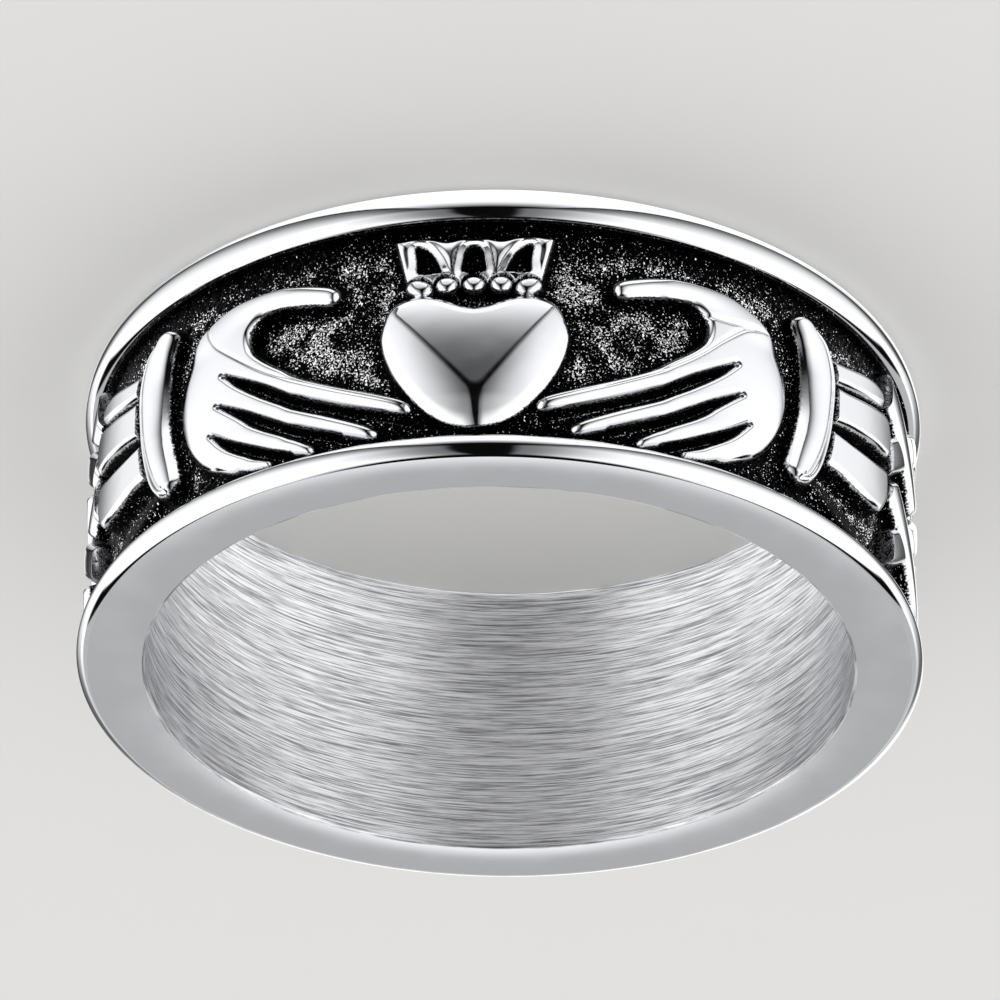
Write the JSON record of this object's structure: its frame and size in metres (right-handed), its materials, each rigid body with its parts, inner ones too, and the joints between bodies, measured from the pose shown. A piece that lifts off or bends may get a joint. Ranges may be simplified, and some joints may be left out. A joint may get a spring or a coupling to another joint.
{
  "type": "claddagh ring",
  "caption": "Wide band ring with a raised crowned heart held by two hands, cuffs and pleated sleeves, and a plait round the back, between polished rims.",
  "frame": {"origin": "centre of the lower face, which the ring rests on when it lies on its side", "axes": "+Z along the axis of the bore, -Y toward the heart, -Z toward the heart's crown"},
  "size_m": [0.022, 0.022, 0.008],
  "materials": {
    "steel": "cast stainless steel: polished rims and relief, blackened sand-blasted channel, brushed bore"
  },
  "bodies": {
    "root": {"ring": "steel"}
  },
  "joints": []
}
